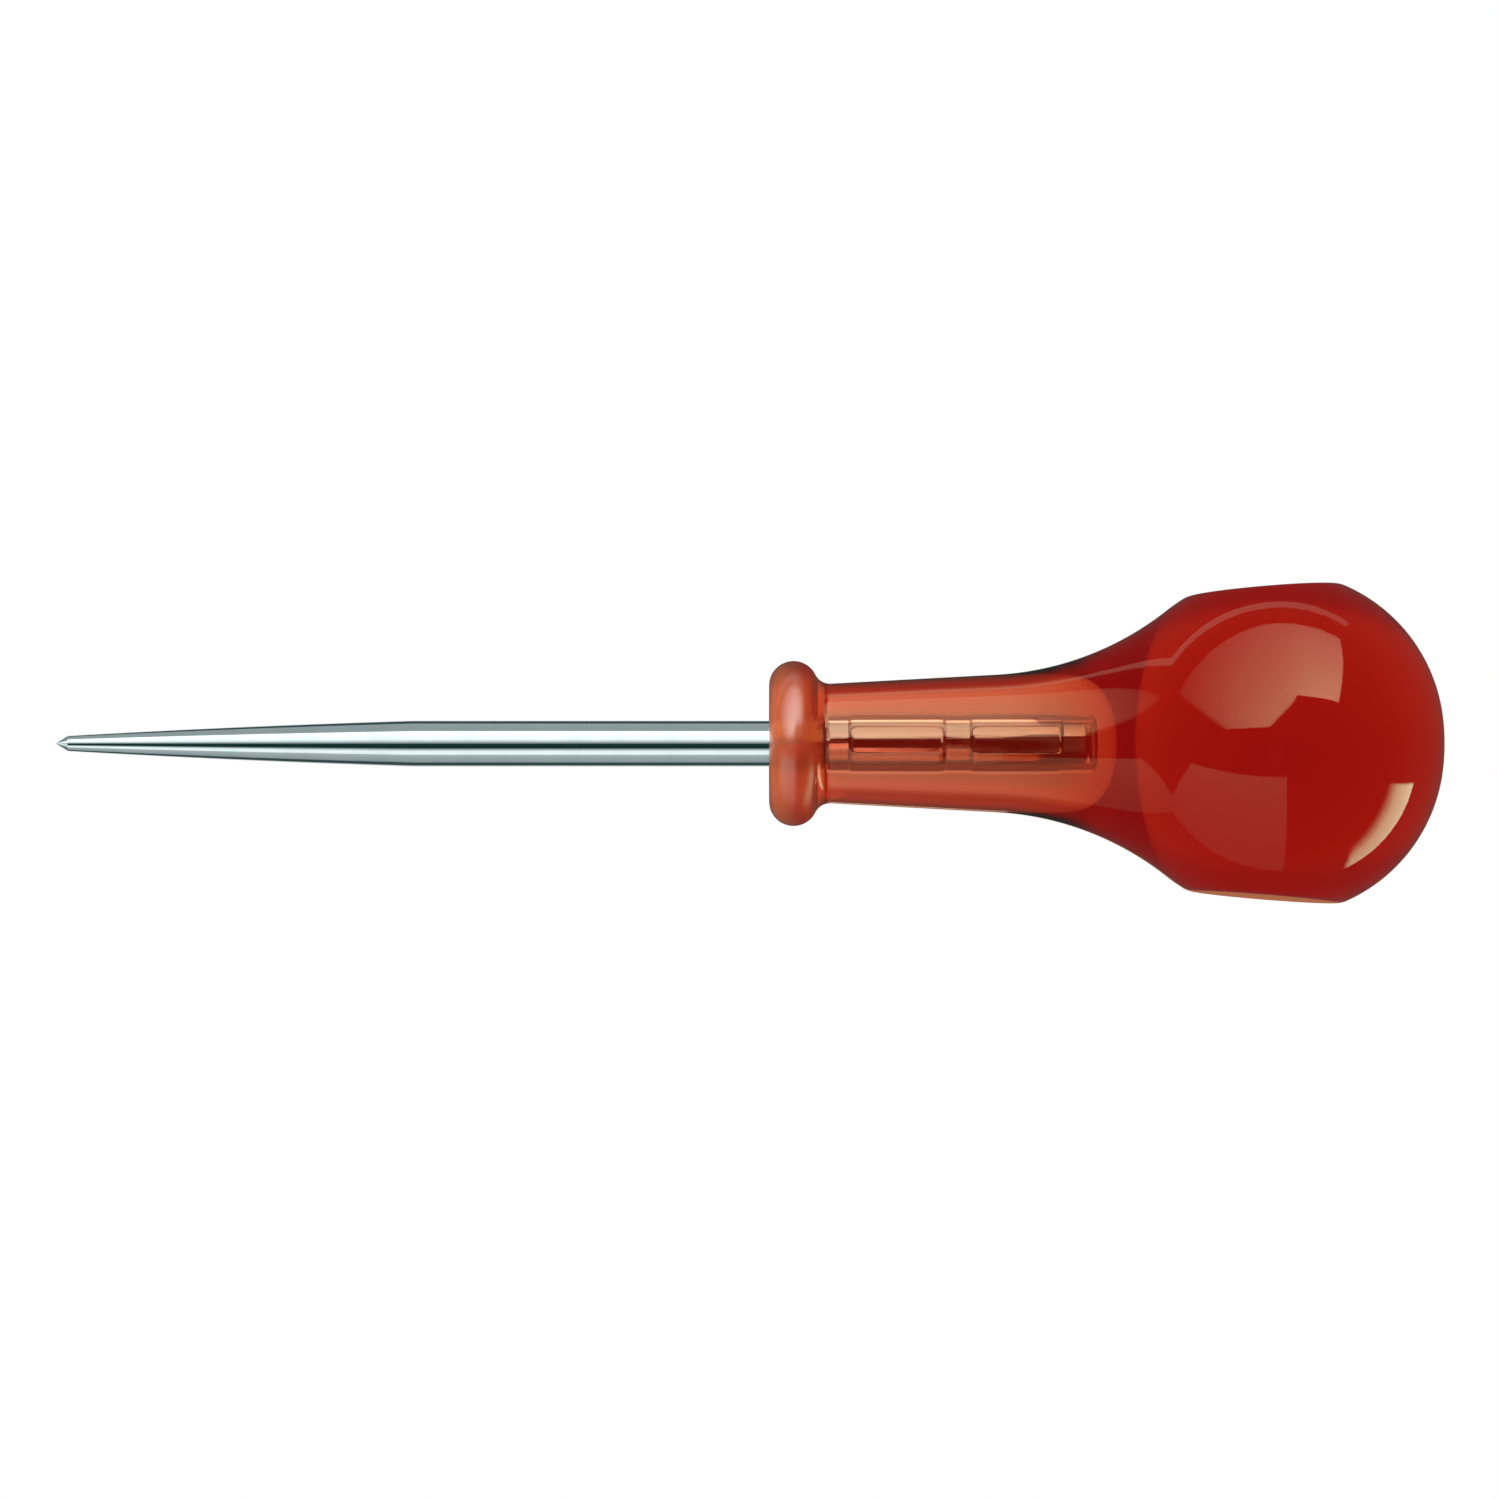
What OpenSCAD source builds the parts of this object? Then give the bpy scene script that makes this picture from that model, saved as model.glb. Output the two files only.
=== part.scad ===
// Bradawl: a round pointed blade held in a clear pear-shaped palm handle.
// The tool lies along X with its point towards -X and the handle's two flats facing up and down.
// The origin is on the blade's axis, in the plane of the collar's front face.

/* [Blade] */
// Length of blade that stands out of the handle
blade_reach = 70; // [55:1:110]
// Diameter of the straight shank
shank_d = 4.5; // [4:0.1:6]
// Length of straight shank in front of the collar
shank_l = 35; // [20:1:55]
// Diameter where the taper meets the ground point
point_d = 1.5; // [0.8:0.1:2.5]
// Length of the ground point
point_l = 1.2; // [0.6:0.1:3]
// How far the taper swells past a straight cone, on the radius
taper_swell = 0.12; // [0:0.01:0.3]

/* [Tang] */
// Diameter of the tang inside the handle
tang_d = 4.1; // [3.4:0.1:5]
// Length of the tang
tang_l = 32; // [29:0.5:38]
// Chamfer at the tang's end
tang_chamfer = 0.4; // [0.1:0.1:0.8]
// Length of each coined pocket
pocket_l = 9.6; // [6:0.1:10]
// Depth of each coined pocket
pocket_depth = 0.3; // [0.1:0.05:0.6]
// Length of the slope at each end of a pocket
pocket_ramp = 0.7; // [0.2:0.1:1.5]
// Length of round bar between the pockets
pocket_land = 2.3; // [1:0.1:4]
// Length of round bar behind the last pocket
tang_heel = 2.7; // [1:0.1:4]
// How far the coined wings stand out beside the pockets
wing_swell = 0.08; // [0.02:0.01:0.2]
// Turn of the tang about the axis, from where its pockets face sideways
tang_turn = -6; // [-45:1:45]

/* [Handle] */
// Length of the handle
handle_l = 66.2; // [62:0.1:78]
// Diameter of the collar
collar_d = 16.2; // [15:0.1:20]
// Thickness of the collar, which is fully rounded
collar_t = 4.8; // [4:0.1:6]
// Radius of the fillet behind the collar
collar_fillet = 1.6; // [0.8:0.1:2.5]
// Diameter of the neck's cone in the plane of the collar's face
neck_d = 11.1; // [10:0.1:12]
// Slope of the neck's side
neck_slope = 3.1; // [1:0.1:5]
// Radius of the hollow curve from the neck to the bulb
flare_r = 29.5; // [22:0.1:36]
// Radius of the bulb's curve on the neck side of its widest point
shoulder_r = 17.7; // [16:0.1:20]
// Diameter of the bulb, before its flats
bulb_d = 33.8; // [33:0.1:38]
// Radius of the domed end
dome_r = 16.2; // [13:0.1:16.5]
// Distance across the two flats, at the bulb's widest point
flats_w = 30.5; // [26:0.1:33]
// Slope of each flat, which closes towards the neck
flat_slope = 4.7; // [0:0.1:6]
// Width of the bevels that ease the edge of each flat
bevel_w = 1; // [0.4:0.1:1.5]
// Turn of the bevels from the flat
bevel_turn = 13; // [8:1:16]

/* [Fit] */
// Gap all round between the tang and its hole
tang_gap = 0.02; // [0.01:0.01:0.1]
// Empty length of hole behind the tang
hole_spare = 1; // [0.2:0.1:3]
// Gap round the shank at the countersunk mouth of the hole
mouth_gap = 0.05; // [0.02:0.01:0.2]

/* [Hidden] */
$fn = 128;

// Steps in which the swollen taper is turned
taper_steps = 12;
// Straight bevels round each flat
bevel_sides = 8;
// How deep blended curves overlap, so that they cross instead of only touching
lap = 0.002;
// How far a cutter passes the surface that it cuts
over = 1;

shank_r = shank_d / 2;
tang_r = tang_d / 2;
wing_r = tang_r + wing_swell;
point_r = point_d / 2;
taper_l = blade_reach - shank_l - point_l;
first_pocket = tang_l - tang_heel - 2 * pocket_l - pocket_land;
pocket_starts = [first_pocket, first_pocket + pocket_l + pocket_land];

// The handle's outline has the radius across and the length along, as [radius, length].
bead_r = collar_t / 2;
bead_c = [collar_d / 2 - bead_r, bead_r];
widest = handle_l - dome_r;
shoulder_c = [bulb_d / 2 - shoulder_r, widest];
dome_c = [bulb_d / 2 - dome_r, widest];

// How far the flat runs from the bulb's widest point to its front and back corners.
flat_front = flat_run(shoulder_r, -1);
flat_back = flat_run(dome_r, 1);

// Length along the flat from the widest point to where it leaves a round of radius r,
// towards the neck for side -1 and towards the end for side 1.
function flat_run(r, side) =
    let (rise = (flats_w - bulb_d) / 2 + r)
    let (lift = side * rise * sin(flat_slope))
    sqrt(lift * lift - rise * rise + r * r) - lift;

// The neck's side as a line: where it starts, which way it runs, and which way it faces.
neck_start = [neck_d / 2, 0];
neck_run = [sin(neck_slope), cos(neck_slope)];
neck_out = [cos(neck_slope), -sin(neck_slope)];

fillet_c = blend_centre(collar_fillet, bead_c, bead_r, 1);
flare_c = blend_centre(flare_r, shoulder_c, shoulder_r, -1);
flare_root = flare_c - neck_out * flare_c[0] / neck_out[0];
neck_end = flare_root[1] + over;

// Centre of a curve of radius r that blends the neck's side into a round of radius round_r,
// behind the round for side 1 and in front of it for side -1.
function blend_centre(r, round_c, round_r, side) =
    let (line = neck_start + neck_out * (r - lap))
    let (away = (round_c - line) * neck_out)
    let (along = (round_c - line) * neck_run)
    let (span = r + round_r - lap)
    line + neck_run * (along + side * sqrt(span * span - away * away));

// Turns an outline of [radius, length] about the tool's axis.
module turned() {
    rotate([0, 90, 0])
        rotate_extrude()
            children();
}

// Side of the taper at a share of its length from the shank, as [radius, length].
function taper_point(share) = [
    shank_r + (point_r - shank_r) * share + 4 * taper_swell * share * (1 - share),
    -shank_l - taper_l * share
];

module blade_outline() {
    taper = [for (i = [0:taper_steps]) taper_point(i / taper_steps)];
    polygon(concat(
        [[0, 0], [shank_r, 0]],
        taper,
        [[0, -blade_reach]]
    ));
}

// The tang, with its sides moved outwards by grow and its end moved back by spare.
module tang(grow, spare) {
    end = tang_l + spare;
    rotate([tang_turn, 0, 0])
        difference() {
            turned() {
                polygon([
                    [0, -grow],
                    [tang_r + grow, -grow],
                    [tang_r + grow, end - tang_chamfer],
                    [tang_r + grow - tang_chamfer, end],
                    [0, end]
                ]);
                for (start = pocket_starts) wing_outline(start, grow);
            }
            for (start = pocket_starts, side = [0, 180])
                rotate([side, 0, 0])
                    pocket(start, grow);
        }
}

// Half outline of the bar where a pocket's coining has pressed it outwards.
module wing_outline(start, grow) {
    polygon([
        [0, start],
        [tang_r + grow, start],
        [wing_r + grow, start + pocket_ramp],
        [wing_r + grow, start + pocket_l - pocket_ramp],
        [tang_r + grow, start + pocket_l],
        [0, start + pocket_l]
    ]);
}

// Cutter for one pocket on the +Y side: a flat floor with a slope at each end.
module pocket(start, grow) {
    run = pocket_ramp * (pocket_depth + over) / pocket_depth;
    floor_y = tang_r - pocket_depth + grow;
    linear_extrude(height = 4 * tang_d, center = true)
        polygon([
            [start + pocket_ramp, floor_y],
            [start + pocket_l - pocket_ramp, floor_y],
            [start + pocket_l - pocket_ramp + run, floor_y + pocket_depth + over],
            [start + pocket_ramp - run, floor_y + pocket_depth + over]
        ]);
}

// Web that fills the corner under a hollow curve, between the round at from and the neck at root.
module web(centre, r, from, root) {
    difference() {
        polygon([from, centre, root]);
        translate(centre) circle(r);
    }
}

module handle_outline() {
    intersection() {
        square([bulb_d, handle_l]);
        union() {
            square([bead_c[0], collar_t]);
            translate(bead_c) circle(bead_r);
            web(fillet_c, collar_fillet, bead_c, fillet_c - neck_out * (collar_fillet + over));
            polygon([
                [0, 0],
                neck_start,
                neck_start + neck_run * neck_end / neck_run[1],
                [0, neck_end]
            ]);
            web(flare_c, flare_r, shoulder_c, flare_root);
            intersection() {
                translate(shoulder_c) circle(shoulder_r);
                square([bulb_d, widest]);
            }
            intersection() {
                translate(dome_c) circle(dome_r);
                translate(dome_c) square(bulb_d);
            }
            translate([0, widest]) square([dome_c[0], dome_r]);
        }
    }
}

// Space above the upper flat and above the ring of bevels round it.
module above_flat() {
    middle = (flat_back - flat_front) / 2;
    reach = (flat_back + flat_front) / 2 - bevel_w;
    translate([widest, 0, flats_w / 2])
        rotate([0, -flat_slope, 0]) {
            translate([-bulb_d, -bulb_d, 0])
                cube([2 * bulb_d, 2 * bulb_d, bulb_d]);
            for (i = [1:bevel_sides])
                translate([middle, 0, 0])
                    rotate([0, 0, i * 360 / bevel_sides])
                        translate([reach, 0, 0])
                            rotate([0, bevel_turn, 0])
                                translate([-over, -bulb_d / 2, 0])
                                    cube([bulb_d / 2, bulb_d, bulb_d]);
        }
}

// Countersink that keeps the hole's edge clear of the shank.
module mouth() {
    mouth_r = shank_r + mouth_gap;
    turned()
        polygon([[0, -over], [mouth_r + over, -over], [0, mouth_r]]);
}

module blade() {
    color("silver") {
        turned() blade_outline();
        tang(0, 0);
    }
}

module handle() {
    color("firebrick", 0.8)
        difference() {
            turned() handle_outline();
            above_flat();
            mirror([0, 0, 1]) above_flat();
            tang(tang_gap, hole_spare);
            mouth();
        }
}

blade();
handle();
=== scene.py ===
import math

import bmesh
import bpy
from mathutils import Matrix, Vector


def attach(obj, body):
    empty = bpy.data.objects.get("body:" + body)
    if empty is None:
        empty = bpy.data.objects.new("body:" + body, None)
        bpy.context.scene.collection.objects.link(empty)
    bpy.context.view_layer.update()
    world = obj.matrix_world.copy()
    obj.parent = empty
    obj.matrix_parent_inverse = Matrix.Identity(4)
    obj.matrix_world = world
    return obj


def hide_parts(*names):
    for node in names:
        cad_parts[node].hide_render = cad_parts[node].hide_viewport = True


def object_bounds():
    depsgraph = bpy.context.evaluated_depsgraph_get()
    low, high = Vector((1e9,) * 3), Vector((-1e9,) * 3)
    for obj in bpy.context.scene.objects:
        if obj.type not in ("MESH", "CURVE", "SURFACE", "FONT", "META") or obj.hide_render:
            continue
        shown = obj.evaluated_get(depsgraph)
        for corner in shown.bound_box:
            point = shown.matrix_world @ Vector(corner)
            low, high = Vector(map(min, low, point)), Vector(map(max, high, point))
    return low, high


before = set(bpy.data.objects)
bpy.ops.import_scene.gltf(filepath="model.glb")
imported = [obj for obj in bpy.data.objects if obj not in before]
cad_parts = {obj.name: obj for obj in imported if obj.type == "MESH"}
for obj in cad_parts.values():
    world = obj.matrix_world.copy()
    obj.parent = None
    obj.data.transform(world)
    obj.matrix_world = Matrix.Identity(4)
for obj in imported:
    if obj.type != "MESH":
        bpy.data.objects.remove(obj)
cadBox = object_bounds()
mm = 0.001
print("frame loaded")


# Small helpers for node trees

def plug(tree, socket, value):
    if isinstance(value, bpy.types.NodeSocket):
        tree.links.new(value, socket)
    else:
        socket.default_value = value


def addNode(tree, kind, inputs=None, **settings):
    node = tree.nodes.new(kind)
    for name, value in settings.items():
        setattr(node, name, value)
    for key, value in (inputs or {}).items():
        plug(tree, node.inputs[key], value)
    return node


def calc(tree, operation, *values):
    return addNode(tree, "ShaderNodeMath", dict(enumerate(values)), operation=operation).outputs[0]


def ramp(tree, value, low, high, outLow=0.0, outHigh=1.0):
    inputs = {"Value": value, "From Min": low, "From Max": high, "To Min": outLow, "To Max": outHigh}
    node = addNode(tree, "ShaderNodeMapRange", inputs, interpolation_type="SMOOTHSTEP")
    return node.outputs["Result"]


def mixColour(tree, factor, first, second):
    inputs = {"Factor": factor, "A": first, "B": second}
    node = tree.nodes.new("ShaderNodeMix")
    node.data_type = "RGBA"
    for socket in node.inputs:
        if socket.enabled and socket.name in inputs:
            plug(tree, socket, inputs[socket.name])
    return next(s for s in node.outputs if s.enabled)


# Turned form: one ring for each point of a rail
# A rail point holds the station along the axis, the radius, and how far off the axis a pair of flats lies
# A flat can be domed, and past its half width it climbs back to the round at the side slope
# A ring whose flats lie clear of its radius stays round

def buildTurnedForm():
    tree = bpy.data.node_groups.new("turnedForm", "GeometryNodeTree")
    plan = tree.interface
    plan.new_socket(name="Rail", in_out="INPUT", socket_type="NodeSocketGeometry")
    plan.new_socket(name="Around", in_out="INPUT", socket_type="NodeSocketInt")
    plan.new_socket(name="Weld", in_out="INPUT", socket_type="NodeSocketFloat")
    plan.new_socket(name="Side Slope", in_out="INPUT", socket_type="NodeSocketFloat")
    plan.new_socket(name="Finish", in_out="INPUT", socket_type="NodeSocketMaterial")
    plan.new_socket(name="Form", in_out="OUTPUT", socket_type="NodeSocketGeometry")
    given = tree.nodes.new("NodeGroupInput").outputs

    def count(operation, first, second):
        node = addNode(tree, "FunctionNodeIntegerMath", {0: first, 1: second}, operation=operation)
        return node.outputs[0]

    # a sheet with one row of points for each ring, which closes when its first and last columns are welded
    railSize = addNode(tree, "GeometryNodeAttributeDomainSize", {"Geometry": given["Rail"]})
    rings = railSize.outputs["Point Count"]
    across = count("ADD", given["Around"], 1)
    grid = addNode(tree, "GeometryNodeMeshGrid", {"Vertices X": rings, "Vertices Y": across})
    sheet = grid.outputs["Mesh"]

    index = tree.nodes.new("GeometryNodeInputIndex").outputs[0]
    ring = count("DIVIDE_FLOOR", index, across)
    step = count("MODULO", index, across)

    def fromRail(kind, value):
        inputs = {"Geometry": given["Rail"], "Value": value, "Index": ring}
        sample = addNode(tree, "GeometryNodeSampleIndex", inputs, data_type=kind, domain="POINT")
        return sample.outputs["Value"]

    def railValue(name):
        stored = addNode(tree, "GeometryNodeInputNamedAttribute", {"Name": name}, data_type="FLOAT")
        return fromRail("FLOAT", stored.outputs["Attribute"])

    spot = fromRail("FLOAT_VECTOR", tree.nodes.new("GeometryNodeInputPosition").outputs[0])
    station, radius, flat = addNode(tree, "ShaderNodeSeparateXYZ", {0: spot}).outputs
    angle = calc(tree, "MULTIPLY", calc(tree, "DIVIDE", step, given["Around"]), math.tau)

    # out is measured square to the flats and is held back by them, side is measured along them
    out = calc(tree, "MULTIPLY", radius, calc(tree, "COSINE", angle))
    side = calc(tree, "MULTIPLY", radius, calc(tree, "SINE", angle))
    past = calc(tree, "SUBTRACT", calc(tree, "ABSOLUTE", side), railValue("flatHalf"))
    climb = calc(tree, "MULTIPLY", calc(tree, "MAXIMUM", past, 0.0), given["Side Slope"])
    sink = calc(tree, "MULTIPLY", calc(tree, "MULTIPLY", side, side), railValue("flatDome"))
    flat = calc(tree, "ADD", calc(tree, "SUBTRACT", flat, sink), climb)
    held = calc(tree, "SMOOTH_MIN", calc(tree, "ABSOLUTE", out), flat, railValue("edgeSoft"))
    out = calc(tree, "MULTIPLY", held, calc(tree, "SIGN", out))

    turn = railValue("flatTurn")
    cosine = calc(tree, "COSINE", turn)
    sine = calc(tree, "SINE", turn)
    y = calc(tree, "SUBTRACT", calc(tree, "MULTIPLY", out, cosine), calc(tree, "MULTIPLY", side, sine))
    z = calc(tree, "ADD", calc(tree, "MULTIPLY", out, sine), calc(tree, "MULTIPLY", side, cosine))
    place = addNode(tree, "ShaderNodeCombineXYZ", {0: station, 1: y, 2: z}).outputs[0]

    turned = addNode(tree, "GeometryNodeSetPosition", {"Geometry": sheet, "Position": place})
    welded = addNode(tree, "GeometryNodeMergeByDistance", {
        "Geometry": turned.outputs[0],
        "Distance": given["Weld"],
    })
    real = addNode(tree, "GeometryNodeRealizeInstances", {"Geometry": welded.outputs[0]})
    dressed = addNode(tree, "GeometryNodeSetMaterial", {
        "Geometry": real.outputs[0],
        "Material": given["Finish"],
    })
    result = tree.nodes.new("NodeGroupOutput")
    tree.links.new(dressed.outputs[0], result.inputs["Form"])
    return tree


def inputId(tree, name):
    return next(s.identifier for s in tree.interface.items_tree if s.in_out == "INPUT" and s.name == name)


# The layers of a rail point: the turn of its flats about the axis, how soft their edges are,
# their half width, and how fast they dome
railLayers = ("flatTurn", "edgeSoft", "flatHalf", "flatDome")
# A half width that no form reaches, for flats that run right across
fullWidth = 1.0


# An entry of a rail: the station, the radius and the flat, and then the layers
def railSpot(station, radius, flat, turn=0.0, soft=0.0, half=fullWidth, dome=0.0):
    return station, radius, flat, turn, soft, half, dome


def makeTurnedPiece(name, rail, settings, finish):
    points = [entry[:3] for entry in rail]
    railMesh = bpy.data.meshes.new(name + "Rail")
    railMesh.from_pydata(points, [(i, i + 1) for i in range(len(points) - 1)], [])
    for column, label in enumerate(railLayers, 3):
        layer = railMesh.attributes.new(label, "FLOAT", "POINT")
        layer.data.foreach_set("value", [entry[column] for entry in rail])
    piece = bpy.data.objects.new(name, railMesh)
    bpy.context.scene.collection.objects.link(piece)

    maker = piece.modifiers.new("turnedForm", "NODES")
    maker.node_group = turnedForm
    maker[inputId(turnedForm, "Around")] = settings["around"]
    maker[inputId(turnedForm, "Weld")] = settings["weld"]
    maker[inputId(turnedForm, "Side Slope")] = settings["sideSlope"]
    maker[inputId(turnedForm, "Finish")] = finish

    view = bpy.context.evaluated_depsgraph_get()
    mesh = bpy.data.meshes.new_from_object(piece.evaluated_get(view), depsgraph=view)
    piece.modifiers.remove(maker)
    piece.data = mesh
    bpy.data.meshes.remove(railMesh)
    mesh.name = name

    work = bmesh.new()
    work.from_mesh(mesh)
    bmesh.ops.recalc_face_normals(work, faces=work.faces)
    openEdges = sum(1 for e in work.edges if not e.is_manifold)
    triangles = sum(len(f.verts) - 2 for f in work.faces)
    work.to_mesh(mesh)
    work.free()
    mesh.shade_smooth()
    mesh.set_sharp_from_angle(angle=settings["sharpAngle"])
    print(name, "rings", len(rail), "triangles", triangles, "open edges", openEdges)
    return piece


def arcPoints(centre, start, end, steps):
    first = math.atan2(start.y - centre.y, start.x - centre.x)
    turn = math.atan2(end.y - centre.y, end.x - centre.x) - first
    turn = (turn + math.pi) % math.tau - math.pi
    size = (start - centre).length
    angles = [first + turn * i / steps for i in range(1, steps + 1)]
    return [centre + size * Vector((math.cos(a), math.sin(a))) for a in angles]


def linePoints(start, end, steps):
    return [start.lerp(end, i / steps) for i in range(1, steps + 1)]


# Tang of the blade, which the handle's hole follows

tangSize = {
    "radius": 2.05 * mm,
    "length": 32 * mm,
    "chamfer": 0.4 * mm,
    "pocketLength": 9.6 * mm,
    "pocketDepth": 0.25 * mm,
    "pocketSideSlope": 2.42,
    "pocketDomeRadius": 3.1 * mm,
    "pocketEnd": 0.8 * mm,
    "pocketRamp": 0.35 * mm,
    "pocketLand": 2.3 * mm,
    "heel": 2.7 * mm,
    "wingSwell": 0.08 * mm,
    "pocketTurn": math.radians(-6),
    "pocketSoft": 0.005 * mm,
    "endSteps": 10,
    "around": 256,
    "floorSides": 20,
    "holeGap": 0.02 * mm,
    "holeSpare": 1 * mm,
}


def tangRail(t, grow, spare):
    radius = t["radius"] + grow
    clear = 2 * radius
    end = t["length"] + spare
    first = t["length"] - t["heel"] - 2 * t["pocketLength"] - t["pocketLand"]
    dome = 1 / (2 * t["pocketDomeRadius"])
    # the floor's edge lies on the form's own columns, so that its crease stays clean
    floorHalf = (radius + t["wingSwell"]) * math.sin(math.tau * t["floorSides"] / t["around"])
    # how far inside the pocket's rounded end each ring lies, and the share of the full width there
    turns = [math.radians(90) * i / t["endSteps"] for i in range(t["endSteps"] + 1)]
    rounded = [(t["pocketEnd"] * (1 - math.cos(a)), math.sin(a)) for a in turns]
    spots = []
    for start in (first, first + t["pocketLength"] + t["pocketLand"]):
        finish = start + t["pocketLength"]
        entry = [(start + inside, inside, wide) for inside, wide in rounded]
        leave = [(finish - inside, inside, wide) for inside, wide in reversed(rounded)]
        for station, inside, wide in entry + leave:
            swell = radius + t["wingSwell"] * wide
            floor = radius - t["pocketDepth"] * min(1.0, inside / t["pocketRamp"])
            layers = (t["pocketTurn"], t["pocketSoft"], floorHalf * wide, dome)
            spots.append(railSpot(station, swell, floor, *layers))
    for station, size in ((end - t["chamfer"], radius), (end, radius - t["chamfer"]), (end, 0.0)):
        spots.append(railSpot(station, size, clear, t["pocketTurn"]))
    return spots


# Blade: ground point, swollen taper, straight shank and tang
# The reach is a hair under the solid's, so that the form stays inside its box

bladeSize = {
    "reach": 69.999 * mm,
    "shankRadius": 2.25 * mm,
    "shankLength": 35 * mm,
    "pointRadius": 0.75 * mm,
    "pointLength": 1.2 * mm,
    "pointRings": (0.0, 0.03, 0.3),
    "taperSwell": 0.12 * mm,
    "taperSteps": 24,
    "around": tangSize["around"],
    "sideSlope": tangSize["pocketSideSlope"],
    "weld": 0.001 * mm,
    "sharpAngle": math.radians(20),
}


def bladeRail(b):
    taperLength = b["reach"] - b["shankLength"] - b["pointLength"]
    clear = 2 * b["shankRadius"]
    spots = [(b["pointLength"] * s - b["reach"], b["pointRadius"] * s) for s in b["pointRings"]]
    for i in range(b["taperSteps"] + 1):
        share = 1 - i / b["taperSteps"]
        radius = b["shankRadius"] + (b["pointRadius"] - b["shankRadius"]) * share
        radius += 4 * b["taperSwell"] * share * (1 - share)
        spots.append((-b["shankLength"] - taperLength * share, radius))
    spots += [(0.0, b["shankRadius"]), (0.0, tangSize["radius"])]
    return [railSpot(*spot, clear) for spot in spots] + tangRail(tangSize, 0.0, 0.0)


# Handle: collar, neck, bulb with two flats, and the hole for the tang
# The length, the bulb and the flats are a hair under the solid's, so that the form stays inside its box

handleSize = {
    "length": 66.199 * mm,
    "collarRadius": 8.1 * mm,
    "collarThick": 4.8 * mm,
    "collarFillet": 1.6 * mm,
    "neckRadius": 5.55 * mm,
    "neckSlope": math.radians(3.1),
    "flareRadius": 29.5 * mm,
    "shoulderRadius": 17.7 * mm,
    "bulbRadius": 16.885 * mm,
    "domeRadius": 16.2 * mm,
    "flatOut": 15.205 * mm,
    "flatSlope": math.radians(4.7),
    "flatTurn": math.radians(90),
    "flatEdgeSoft": 0.4 * mm,
    "mouthRadius": 2.3 * mm,
    "domeSteps": 110,
    "shoulderSteps": 72,
    "flareSteps": 40,
    "neckSteps": 8,
    "filletSteps": 12,
    "beadSteps": 36,
    "faceSteps": 5,
    "around": tangSize["around"],
    "sideSlope": tangSize["pocketSideSlope"],
    "weld": 0.001 * mm,
    "sharpAngle": math.radians(25),
}


def handleRail(h):
    beadRadius = h["collarThick"] / 2
    bead = Vector((beadRadius, h["collarRadius"] - beadRadius))
    widest = h["length"] - h["domeRadius"]
    shoulder = Vector((widest, h["bulbRadius"] - h["shoulderRadius"]))
    dome = Vector((widest, h["bulbRadius"] - h["domeRadius"]))
    neckStart = Vector((0, h["neckRadius"]))
    neckRun = Vector((math.cos(h["neckSlope"]), math.sin(h["neckSlope"])))
    neckOut = Vector((-neckRun.y, neckRun.x))

    # centre of a hollow curve that touches the neck's side and a round, behind it or in front of it
    def blendCentre(size, roundCentre, roundRadius, side):
        line = neckStart + neckOut * size
        away = (roundCentre - line).dot(neckOut)
        along = (roundCentre - line).dot(neckRun)
        span = size + roundRadius
        return line + neckRun * (along + side * math.sqrt(span * span - away * away))

    fillet = blendCentre(h["collarFillet"], bead, beadRadius, 1)
    flare = blendCentre(h["flareRadius"], shoulder, h["shoulderRadius"], -1)
    top = Vector((widest, h["bulbRadius"]))
    shoulderEnd = shoulder + (flare - shoulder).normalized() * h["shoulderRadius"]
    neckBack = flare - neckOut * h["flareRadius"]
    neckFront = fillet - neckOut * h["collarFillet"]
    beadBack = bead + (fillet - bead).normalized() * beadRadius
    beadFront = Vector((0, bead.y))
    domeEnd = dome + Vector((h["domeRadius"], 0))
    mouth = Vector((0, h["mouthRadius"]))

    outline = [Vector((h["length"], 0)), domeEnd]
    outline += arcPoints(dome, domeEnd, top, h["domeSteps"])
    outline += arcPoints(shoulder, top, shoulderEnd, h["shoulderSteps"])
    outline += arcPoints(flare, shoulderEnd, neckBack, h["flareSteps"])
    outline += linePoints(neckBack, neckFront, h["neckSteps"])
    outline += arcPoints(fillet, neckFront, beadBack, h["filletSteps"])
    outline += arcPoints(bead, beadBack, beadFront, h["beadSteps"])
    outline += linePoints(beadFront, mouth, h["faceSteps"])

    rail = []
    for spot in outline:
        flat = h["flatOut"] + math.tan(h["flatSlope"]) * (spot.x - widest)
        rail.append(railSpot(spot.x, spot.y, flat, h["flatTurn"], h["flatEdgeSoft"]))
    holeRadius = tangSize["radius"] + tangSize["holeGap"]
    mouthDepth = h["mouthRadius"] - holeRadius
    rail.append(railSpot(mouthDepth, holeRadius, 2 * holeRadius, tangSize["pocketTurn"]))
    return rail + tangRail(tangSize, tangSize["holeGap"], tangSize["holeSpare"])


# Materials

def newMaterial(name):
    material = bpy.data.materials.new(name)
    material.use_nodes = True
    tree = material.node_tree
    tree.nodes.clear()
    return material, tree


# Fine marks of handling that both finishes carry: hairlines, and soft patches where the gloss is duller

marksSettings = {
    "lineDetail": 3.0,
    "lineGrain": 0.6,
    "lineRange": (0.62, 0.72),
    "patchDetail": 2.0,
    "patchRange": (0.35, 0.7),
}


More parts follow.
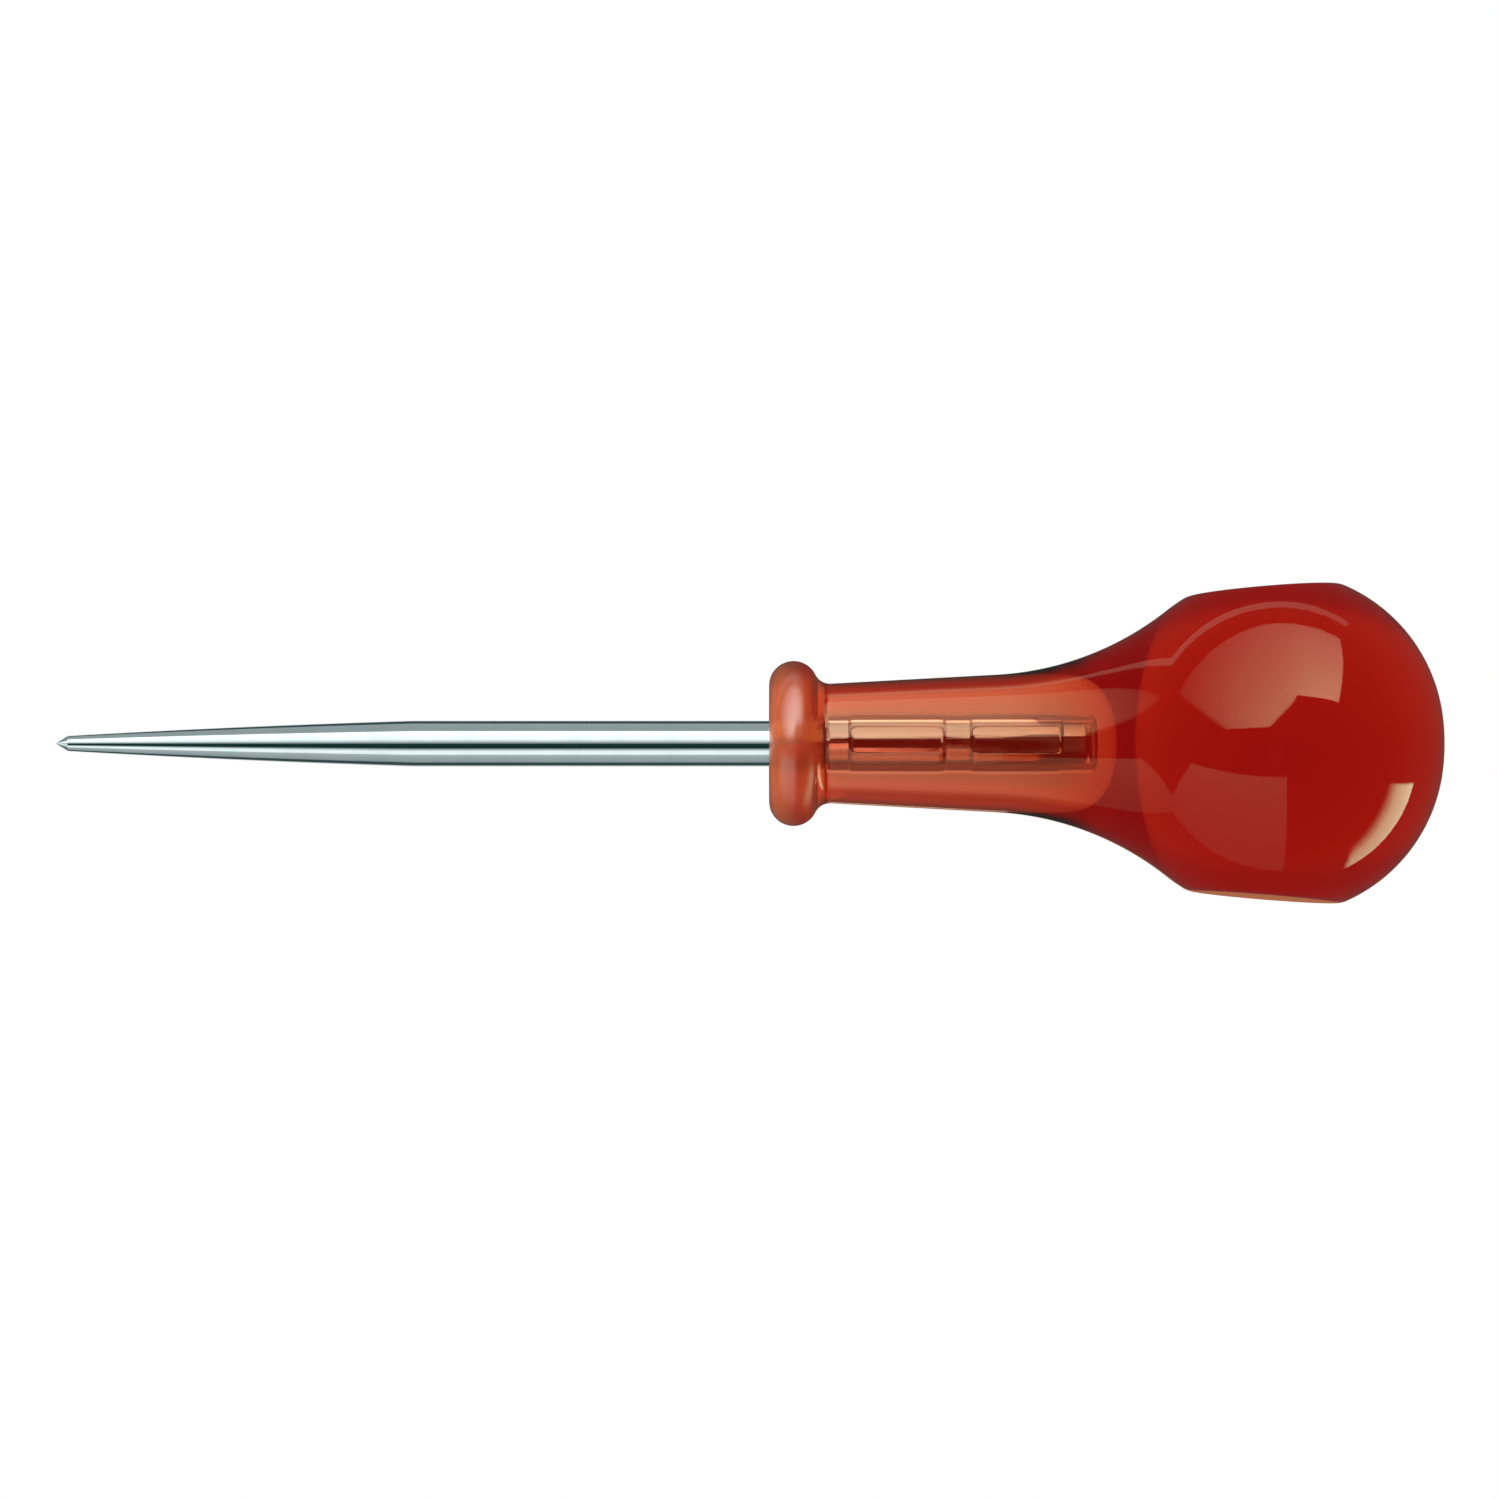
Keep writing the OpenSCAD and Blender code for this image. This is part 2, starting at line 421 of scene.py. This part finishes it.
def buildHandlingMarks(m):
    tree = bpy.data.node_groups.new("handlingMarks", "ShaderNodeTree")
    plan = tree.interface
    plan.new_socket(name="Place", in_out="INPUT", socket_type="NodeSocketVector")
    plan.new_socket(name="Line Density", in_out="INPUT", socket_type="NodeSocketFloat")
    plan.new_socket(name="Patch Density", in_out="INPUT", socket_type="NodeSocketFloat")
    plan.new_socket(name="Lines", in_out="OUTPUT", socket_type="NodeSocketFloat")
    plan.new_socket(name="Patches", in_out="OUTPUT", socket_type="NodeSocketFloat")
    given = tree.nodes.new("NodeGroupInput").outputs
    lines = addNode(tree, "ShaderNodeTexNoise", {
        "Vector": given["Place"],
        "Scale": given["Line Density"],
        "Detail": m["lineDetail"],
        "Roughness": m["lineGrain"],
    }).outputs["Fac"]
    thin = ramp(tree, lines, *m["lineRange"])
    patches = addNode(tree, "ShaderNodeTexNoise", {
        "Vector": given["Place"],
        "Scale": given["Patch Density"],
        "Detail": m["patchDetail"],
    }).outputs["Fac"]
    result = tree.nodes.new("NodeGroupOutput")
    tree.links.new(thin, result.inputs["Lines"])
    tree.links.new(ramp(tree, patches, *m["patchRange"]), result.inputs["Patches"])
    return tree


def marksOn(tree, place, finish):
    inputs = {
        "Place": place,
        "Line Density": finish["lineDensity"],
        "Patch Density": finish["patchDensity"],
    }
    node = tree.nodes.new("ShaderNodeGroup")
    node.node_tree = handlingMarks
    for name, value in inputs.items():
        plug(tree, node.inputs[name], value)
    return node.outputs["Lines"], node.outputs["Patches"]


# Plastic: clear and absorbing, with a glow on the outer skin, painted light in place of light scattered
# inside

plasticFinish = {
    "stretch": (0.25, 1.0, 1.0),
    "lineDensity": 900.0,
    "lineDepth": -0.02,
    "patchDensity": 60.0,
    "flowDensity": 120.0,
    "flowDetail": 1.0,
    "flowRange": (0.4, 0.75),
    "swellDensity": 70.0,
    "swellDetail": 0.0,
    "bumpStrength": 0.05,
    "bumpDistance": 0.1 * mm,
    "facingBlend": 0.5,
    "tint": (1.0, 0.96, 0.94, 1),
    "flowTint": (1.0, 0.90, 0.86, 1),
    "collarTint": (1.0, 0.62, 0.40, 1),
    "absorbDensity": 240.0,
    "absorbColour": (0.70, 0.28, 0.0, 1),
    # collar glow, painted light: its front glows brighter than its back, a painted highlight
    "collarFrontGlow": (0.36, 0.085, 0.03, 1),
    "collarGlow": (0.16, 0.006, 0.002, 1),
    "collarFront": (0.4 * mm, 3.0 * mm),
    # the neck's and the bulb's glow colours are painted light, emitted by the outer skin
    "neckGlow": (0.11, 0.003, 0.001, 1),
    # painted light on the neck: its glow is brighter towards its edges, and nearly black at its rim as a
    # painted dark outline
    "neckEdgeGlow": (0.21, 0.004, 0.002, 1),
    "neckEdge": (0.10, 0.28),
    "neckDarkRimGlow": (0.01, 0.001, 0.001, 1),
    "neckRim": (0.45, 0.80),
    "bulbGlow": (0.24, 0.003, 0.003, 1),
    "collarEnd": (3.8 * mm, 5.4 * mm),
    "glowRise": (28.5 * mm, 34 * mm),
    "skinRadius": (2.2 * mm, 2.6 * mm),
    "holeBack": (36 * mm, 40 * mm),
    "ior": 1.43,
    "glossTint": (1.0, 0.82, 0.47, 1),
    "smooth": 0.015,
    "dull": 0.05,
    "collarHaze": 0.32,
    "collarCoatEnd": (2.0 * mm, 3.8 * mm),
    "collarCoatRough": 0.26,
    "collarCoatIor": 1.8,
}


def noiseOn(tree, place, density, detail):
    inputs = {"Vector": place, "Scale": density, "Detail": detail}
    return addNode(tree, "ShaderNodeTexNoise", inputs).outputs["Fac"]


def makePlastic(p):
    material, tree = newMaterial("clearRedPlastic")
    place = tree.nodes.new("ShaderNodeTexCoord").outputs["Object"]
    stretched = addNode(tree, "ShaderNodeMapping", {"Vector": place, "Scale": p["stretch"]}).outputs[0]
    lines, patches = marksOn(tree, stretched, p)
    flow = noiseOn(tree, stretched, p["flowDensity"], p["flowDetail"])
    swell = noiseOn(tree, place, p["swellDensity"], p["swellDetail"])
    crosswise = addNode(tree, "ShaderNodeVectorMath", {0: place, 1: (0, 1, 1)}, operation="MULTIPLY")
    length = addNode(tree, "ShaderNodeVectorMath", {0: crosswise.outputs[0]}, operation="LENGTH")
    offAxis = length.outputs["Value"]
    along = addNode(tree, "ShaderNodeSeparateXYZ", {0: place}).outputs["X"]
    facing = addNode(tree, "ShaderNodeLayerWeight", {"Blend": p["facingBlend"]}).outputs["Facing"]
    # the neck's glow grows brighter towards its edges, painted light, and goes nearly black at its rim, a
    # painted dark outline
    neckGlow = mixColour(tree, ramp(tree, facing, *p["neckEdge"]), p["neckGlow"], p["neckEdgeGlow"])
    neckGlow = mixColour(tree, ramp(tree, facing, *p["neckRim"]), neckGlow, p["neckDarkRimGlow"])
    # body holds the glow colour, painted light, rising from the neck's glow to the bulb's
    body = mixColour(tree, ramp(tree, along, *p["glowRise"]), neckGlow, p["bulbGlow"])
    pastCollar = ramp(tree, along, *p["collarEnd"])
    colour = mixColour(tree, ramp(tree, flow, *p["flowRange"]), p["tint"], p["flowTint"])
    colour = mixColour(tree, pastCollar, p["collarTint"], colour)
    # the collar's glow is painted light, brighter at its front than at its back as a painted highlight
    behindFront = ramp(tree, along, *p["collarFront"])
    collarGlow = mixColour(tree, behindFront, p["collarFrontGlow"], p["collarGlow"])
    body = mixColour(tree, pastCollar, collarGlow, body)
    # painted light: the outer skin glows, less where the surface turns light back, and not on the hole's
    # walls
    turnedBack = addNode(tree, "ShaderNodeFresnel", {"IOR": p["ior"]}).outputs[0]
    skin = calc(tree, "MAXIMUM", ramp(tree, offAxis, *p["skinRadius"]), ramp(tree, along, *p["holeBack"]))
    leaving = calc(tree, "SUBTRACT", skin, turnedBack)
    glow = mixColour(tree, calc(tree, "MAXIMUM", leaving, 0.0), (0, 0, 0, 1), body)
    rough = calc(tree, "MULTIPLY_ADD", patches, p["dull"] - p["smooth"], p["smooth"])
    onCollar = calc(tree, "SUBTRACT", 1.0, pastCollar)
    rough = calc(tree, "MULTIPLY_ADD", onCollar, p["collarHaze"], rough)
    height = calc(tree, "MULTIPLY_ADD", lines, p["lineDepth"], swell)
    bump = addNode(tree, "ShaderNodeBump", {
        "Height": height,
        "Strength": p["bumpStrength"],
        "Distance": p["bumpDistance"],
    })
    shader = addNode(tree, "ShaderNodeBsdfPrincipled", {
        "Base Color": colour,
        "Roughness": rough,
        "IOR": p["ior"],
        "Transmission Weight": 1.0,
        "Specular Tint": p["glossTint"],
        "Normal": bump.outputs[0],
        "Coat Weight": ramp(tree, along, *p["collarCoatEnd"], 1.0, 0.0),
        "Coat Roughness": p["collarCoatRough"],
        "Coat IOR": p["collarCoatIor"],
        "Emission Color": glow,
        "Emission Strength": 1.0,
    })
    depth = addNode(tree, "ShaderNodeVolumeAbsorption", {
        "Color": p["absorbColour"],
        "Density": p["absorbDensity"],
    })
    addNode(tree, "ShaderNodeOutputMaterial", {"Surface": shader.outputs[0], "Volume": depth.outputs[0]})
    return material


# Steel: brighter outside the handle than on the tang, whose darker, bluer colour is partly duller bare
# steel and partly painted shade

steelFinish = {
    "stretch": (1.0, 0.1, 0.1),
    "lineDensity": 5000.0,
    "lineRough": 0.04,
    "patchDensity": 250.0,
    "bumpStrength": 0.003,
    "bumpDistance": 0.02 * mm,
    "bright": (0.77, 0.87, 0.88, 1),
    "shade": (0.70, 0.81, 0.82, 1),
    # the tang's darker, bluer colour is partly duller bare steel and partly painted shade, set for how the
    # tang shows through the red handle
    "tangShade": (0.205, 0.345, 0.40, 1),
    "tangStart": (0.0, 0.5 * mm),
    "smooth": 0.06,
    "dull": 0.10,
}


def makeSteel(s):
    material, tree = newMaterial("chromedSteel")
    place = tree.nodes.new("ShaderNodeTexCoord").outputs["Object"]
    stretched = addNode(tree, "ShaderNodeMapping", {"Vector": place, "Scale": s["stretch"]}).outputs[0]
    lines, patches = marksOn(tree, stretched, s)
    colour = mixColour(tree, patches, s["bright"], s["shade"])
    along = addNode(tree, "ShaderNodeSeparateXYZ", {0: place}).outputs["X"]
    # past the collar the steel takes the tang's colour: partly duller bare steel, partly painted shade
    colour = mixColour(tree, ramp(tree, along, *s["tangStart"]), colour, s["tangShade"])
    rough = calc(tree, "MULTIPLY_ADD", patches, s["dull"] - s["smooth"], s["smooth"])
    rough = calc(tree, "MULTIPLY_ADD", lines, s["lineRough"], rough)
    bump = addNode(tree, "ShaderNodeBump", {
        "Height": lines,
        "Strength": s["bumpStrength"],
        "Distance": s["bumpDistance"],
    })
    shader = addNode(tree, "ShaderNodeBsdfPrincipled", {
        "Base Color": colour,
        "Metallic": 1.0,
        "Roughness": rough,
        "Normal": bump.outputs[0],
    })
    addNode(tree, "ShaderNodeOutputMaterial", {"Surface": shader.outputs[0]})
    return material


turnedForm = buildTurnedForm()
handlingMarks = buildHandlingMarks(marksSettings)
plastic = makePlastic(plasticFinish)
steel = makeSteel(steelFinish)
print("materials made")

blade = makeTurnedPiece("awlBlade", bladeRail(bladeSize), bladeSize, steel)
handle = makeTurnedPiece("palmHandle", handleRail(handleSize), handleSize, plastic)
for piece, node, slotName in ((blade, "blade", "chromed_steel"), (handle, "handle", "clear_red_plastic")):
    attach(piece, "root")
    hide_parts(node)
print("pieces placed")


# Camera: nearly level with the tool, from a little below it, through a long lens

cameraSettings = {
    "target": Vector((-1.97, 0, -0.54)) * mm,
    "below": math.radians(2.8),
    "distance": 0.9,
    "frameWidth": 147.0 * mm,
    "sensor": 36.0,
    "nearest": 0.01,
}


def makeCamera(c):
    data = bpy.data.cameras.new("photoCamera")
    data.sensor_width = c["sensor"]
    data.lens = c["sensor"] * c["distance"] / c["frameWidth"]
    data.clip_start = c["nearest"]
    camera = bpy.data.objects.new("photoCamera", data)
    away = Vector((0, -math.cos(c["below"]), -math.sin(c["below"])))
    camera.location = c["target"] + away * c["distance"]
    camera.rotation_euler = (-away).to_track_quat("-Z", "Y").to_euler()
    bpy.context.scene.collection.objects.link(camera)
    bpy.context.scene.camera = camera


makeCamera(cameraSettings)


# Floor: pale, fading into the white around it, and clear from below

floorSettings = {
    "size": 0.8,
    "sides": 96,
    "fadeFrom": 0.12,
    "fadeTo": 0.38,
    "colour": (0.9, 0.9, 0.9, 1),
}


def makeFloor(f):
    mesh = bpy.data.meshes.new("floor")
    work = bmesh.new()
    height = cadBox[0][2]
    bmesh.ops.create_circle(work, cap_ends=True, radius=f["size"], segments=f["sides"])
    bmesh.ops.translate(work, verts=work.verts, vec=(0, 0, height))
    work.to_mesh(mesh)
    work.free()
    material, tree = newMaterial("paleFloor")
    place = tree.nodes.new("ShaderNodeTexCoord").outputs["Object"]
    far = addNode(tree, "ShaderNodeVectorMath", {0: place}, operation="LENGTH").outputs["Value"]
    fade = ramp(tree, far, f["fadeFrom"], f["fadeTo"])
    behind = tree.nodes.new("ShaderNodeNewGeometry").outputs["Backfacing"]
    clear = calc(tree, "MAXIMUM", fade, behind)
    pale = addNode(tree, "ShaderNodeBsdfDiffuse", {"Color": f["colour"]})
    gone = tree.nodes.new("ShaderNodeBsdfTransparent")
    both = addNode(tree, "ShaderNodeMixShader", {0: clear, 1: pale.outputs[0], 2: gone.outputs[0]})
    addNode(tree, "ShaderNodeOutputMaterial", {"Surface": both.outputs[0]})
    mesh.materials.append(material)
    floor = bpy.data.objects.new("floor", mesh)
    floor.visible_glossy = False
    floor.visible_transmission = False
    floor.visible_shadow = False
    bpy.context.scene.collection.objects.link(floor)
    return floor


floor = makeFloor(floorSettings)
print("camera and floor set")


# Lights: panels that light the handle and the floor, and panels that light only the blade

lightSettings = {
    "centre": Vector((50, 0, 0)) * mm,
    "distance": 0.8,
    "bladeSpan": (-4.0, 2.0),
}

# direction points from the centre to the panel, and across is the way of the panel's width
# spanX and spanY are the panel's reach on each side of its middle lines, in shares of the distance
# glow is (lower left, lower right, upper left, upper right), and curve bends its change from left to right
# cuts are lines from one spot to another, in shares too, and the panel shines only on the left of them
# the third entry of a cut is how far on each side of it the light fades
# inGloss and throughGlass say whether reflections see the panel, and whether it is seen through the plastic
handlePanels = {
    "upperSoftbox": {
        "direction": (0, -1, 1),
        "spanX": (-1.8, 0.15),
        "spanY": (-0.75, 0.82),
        "glow": (1.0, 6.3, 0.2, 1.8),
        "curve": 2.0,
        "cuts": (
            ((-1.75, 0.24), (-0.93, -0.68), 0.09),
            ((-0.18, -0.74), (0.15, -0.33), 0.03),
            ((-0.31, 0.78), (-1.33, 0.50), 0.03),
        ),
    },
    "upperSoftboxSide": {
        "direction": (0, -1, 1),
        "spanX": (0.15, 0.78),
        "spanY": (-0.28, 0.82),
        "glow": (5.9, 6.8, 1.8, 2.1),
    },
    "lowerCard": {
        "direction": (0, -0.5, -0.866),
        "spanX": (-2.0, 0.05),
        "spanY": (-0.75, 0.70),
        "glow": (0.3, 0.3, 1.0, 1.0),
    },
    "topStrip": {
        "direction": (0, 0.225, 0.974),
        "spanX": (-2.0, 0.6),
        "spanY": (-0.06, 0.06),
        "glow": (1.1, 0.7, 1.1, 0.7),
    },
    "backSide": {
        "direction": (0.78, 0.22, -0.55),
        "across": (0.55, 0, 0.78),
        "spanX": (-0.48, 0.37),
        "spanY": (-0.16, 0.30),
        "glow": (5.0, 9.0, 4.5, 7.5),
        "colour": (0.7, 0.95, 0.7),
        "cuts": (
            ((0.36, -0.16), (0.30, 0.30), 0.015),
            ((0.36, 0.24), (-0.42, 0.04), 0.12),
            ((-0.285, 0.30), (-0.42, -0.16), 0.04),
        ),
        "throughGlass": False,
    },
    "tangCard": {
        "direction": (0, -0.956, -0.292),
        "spanX": (-0.16, 0.02),
        "spanY": (-0.2, 0.2),
        "glow": (5.7, 5.7, 5.7, 5.7),
        "colour": (1.0, 0.35, 0.28),
        "inGloss": False,
    },
    "tangLowCard": {
        "direction": (0, -0.469, -0.883),
        "spanX": (-0.16, 0.2),
        "spanY": (-0.35, 0.7),
        "glow": (1.95, 1.95, 1.95, 1.95),
        "colour": (1.0, 0.21, 0.06),
        "inGloss": False,
    },
    "tangHighCard": {
        "direction": (0, -0.139, 0.990),
        "spanX": (-0.16, 0.2),
        "spanY": (-0.5, 0.5),
        "glow": (1.2, 1.2, 3.0, 3.0),
        "colour": (0.6, 0.9, 1.0),
        "inGloss": False,
    },
}

# Bands along the whole blade, with the angle in degrees above level on the camera's side and the glow,
# at the low edge and at the high edge
bladeBands = {
    "bladeUpperFade": ((-6, 0.0), (17, 1.1)),
    "bladeUpperBox": ((17, 1.1), (62, 1.5)),
    "bladeTopCard": ((62, 0.36), (118, 0.30)),
    "bladeLowerFade": ((-44, 1.1), (-26, 0.0)),
    "bladeLowerBox": ((-62, 1.0), (-44, 1.1)),
    "bladeUnderCard": ((-114, 0.25), (-62, 0.5)),
    "bladeBackHigh": ((150, 0.6), (172, 0.9)),
    "bladeBackLow": ((-172, 0.7), (-150, 0.4)),
}

bladePointCard = {
    "direction": (-0.9, -0.44, -0.05),
    "across": (0, 1, 0),
    "spanX": (-0.3, 0.3),
    "spanY": (-0.3, 0.3),
    "glow": (0.3, 0.3, 0.3, 0.3),
}


def makeGroup(name, *members):
    group = bpy.data.collections.new(name)
    for member in members:
        group.objects.link(member)
    return group


# Brightness over a panel, from its corners' glow and its cuts
def panelStrength(tree, spanX, spanY, glow, curve, cuts):
    spot = tree.nodes.new("ShaderNodeNewGeometry").outputs["Parametric"]
    split = addNode(tree, "ShaderNodeSeparateXYZ", {0: spot}).outputs
    right = split["X"]
    up = split["Y"]
    bent = calc(tree, "POWER", right, curve)
    lower = calc(tree, "MULTIPLY_ADD", bent, glow[1] - glow[0], glow[0])
    upper = calc(tree, "MULTIPLY_ADD", bent, glow[3] - glow[2], glow[2])
    strength = calc(tree, "MULTIPLY_ADD", calc(tree, "SUBTRACT", upper, lower), up, lower)
    for start, end, soft in cuts:
        run = (Vector(end) - Vector(start)).normalized()
        atCorner = run.cross(Vector((spanX[0], spanY[0])) - Vector(start))
        left = calc(tree, "MULTIPLY_ADD", right, run.y * (spanX[0] - spanX[1]), atCorner)
        left = calc(tree, "MULTIPLY_ADD", up, run.x * (spanY[1] - spanY[0]), left)
        strength = calc(tree, "MULTIPLY", strength, ramp(tree, left, -soft, soft))
    return strength


def makePanel(
        name, litGroup, direction, spanX, spanY, glow, across=(1, 0, 0), colour=(1, 1, 1),
        curve=1.0, cuts=(), inGloss=True, throughGlass=True):
    reach = lightSettings["distance"]
    zAxis = Vector(direction).normalized()
    width = Vector(across)
    xAxis = (width - width.dot(zAxis) * zAxis).normalized()
    yAxis = zAxis.cross(xAxis)
    middle = lightSettings["centre"] + zAxis * reach
    middle += xAxis * reach * sum(spanX) / 2 + yAxis * reach * sum(spanY) / 2
    data = bpy.data.lights.new(name, "AREA")
    data.shape = "RECTANGLE"
    data.size = reach * (spanX[1] - spanX[0])
    data.size_y = reach * (spanY[1] - spanY[0])
    # with this energy, a glow of 1 looks as bright as pure white
    data.energy = math.pi * data.size * data.size_y
    data.color = colour
    data.use_nodes = True
    tree = data.node_tree
    tree.nodes.clear()
    strength = panelStrength(tree, spanX, spanY, glow, curve, cuts)
    shine = addNode(tree, "ShaderNodeEmission", {"Strength": strength})
    addNode(tree, "ShaderNodeOutputLight", {"Surface": shine.outputs[0]})
    panel = bpy.data.objects.new(name, data)
    facing = Matrix((xAxis, yAxis, zAxis)).transposed().to_4x4()
    panel.matrix_world = Matrix.Translation(middle) @ facing
    panel.visible_camera = False
    panel.visible_glossy = inGloss
    panel.visible_transmission = throughGlass
    panel.light_linking.receiver_collection = litGroup
    bpy.context.scene.collection.objects.link(panel)


def makeBladeBand(name, litGroup, lowEdge, highEdge):
    low, lowGlow = lowEdge
    high, highGlow = highEdge
    middle = math.radians(low + high) / 2
    half = math.tan(math.radians(high - low) / 2)
    direction = (0, -math.cos(middle), math.sin(middle))
    glow = (lowGlow, lowGlow, highGlow, highGlow)
    makePanel(name, litGroup, direction, lightSettings["bladeSpan"], (-half, half), glow)


handleLit = makeGroup("handleLit", handle, floor)
bladeLit = makeGroup("bladeLit", blade)
for name, settings in handlePanels.items():
    makePanel(name, handleLit, **settings)
for name, edges in bladeBands.items():
    makeBladeBand(name, bladeLit, *edges)
makePanel("bladePointCard", bladeLit, **bladePointCard)
print("lights set")


# World: white behind the object and even light on it
# Glass sees a pale backdrop that dims towards the top, the ground and the front, and most round the camera
# Gloss sees a dark room with a warm patch straight behind the object

worldSettings = {
    "ambient": (0.55, 0.55, 0.55, 1),
    "white": (1, 1, 1, 1),
    "mirrorFront": (0.006, 0.03, 0.03, 1),
    "mirrorBack": (0.04, 0.07, 0.07, 1),
    "mirrorBehind": (0.42, 0.17, 0.08, 1),
    "straightBehind": (math.cos(math.radians(12)), math.cos(math.radians(6))),
    "frontToBack": (-0.2, 0.25),
    "glassFront": 0.3,
    "glassBackHigh": 0.68,
    "glassBackLow": 0.9,
    "backLowToHigh": (-0.2, 0.1),
    "glassUp": 0.3,
    "upRange": (0.48, 0.68),
    "glassDown": 0.12,
    "downRange": (-0.68, -0.48),
    "glassCamera": 0.05,
    "cameraRange": (-math.cos(math.radians(12)), -math.cos(math.radians(20))),
}


def makeWorld(w):
    world = bpy.data.worlds.new("studio")
    bpy.context.scene.world = world
    world.use_nodes = True
    tree = world.node_tree
    tree.nodes.clear()
    direction = tree.nodes.new("ShaderNodeTexCoord").outputs["Generated"]
    split = addNode(tree, "ShaderNodeSeparateXYZ", {0: direction}).outputs
    y = split["Y"]
    z = split["Z"]
    path = tree.nodes.new("ShaderNodeLightPath").outputs
    backdrop = ramp(tree, z, *w["backLowToHigh"], w["glassBackLow"], w["glassBackHigh"])
    glass = ramp(tree, y, *w["frontToBack"], w["glassFront"], backdrop)
    glass = calc(tree, "MULTIPLY", glass, ramp(tree, z, *w["upRange"], 1.0, w["glassUp"]))
    glass = calc(tree, "MULTIPLY", glass, ramp(tree, z, *w["downRange"], w["glassDown"], 1.0))
    glass = calc(tree, "MULTIPLY", glass, ramp(tree, y, *w["cameraRange"], w["glassCamera"], 1.0))
    mirror = mixColour(tree, ramp(tree, y, *w["frontToBack"]), w["mirrorFront"], w["mirrorBack"])
    mirror = mixColour(tree, ramp(tree, y, *w["straightBehind"]), mirror, w["mirrorBehind"])
    colour = mixColour(tree, path["Is Glossy Ray"], w["ambient"], mirror)
    colour = mixColour(tree, path["Is Transmission Ray"], colour, glass)
    colour = mixColour(tree, path["Is Camera Ray"], colour, w["white"])
    light = addNode(tree, "ShaderNodeBackground", {"Color": colour, "Strength": 1.0})
    addNode(tree, "ShaderNodeOutputWorld", {"Surface": light.outputs[0]})


makeWorld(worldSettings)
print("world made")


bpy.context.scene.view_settings.view_transform = "Standard"
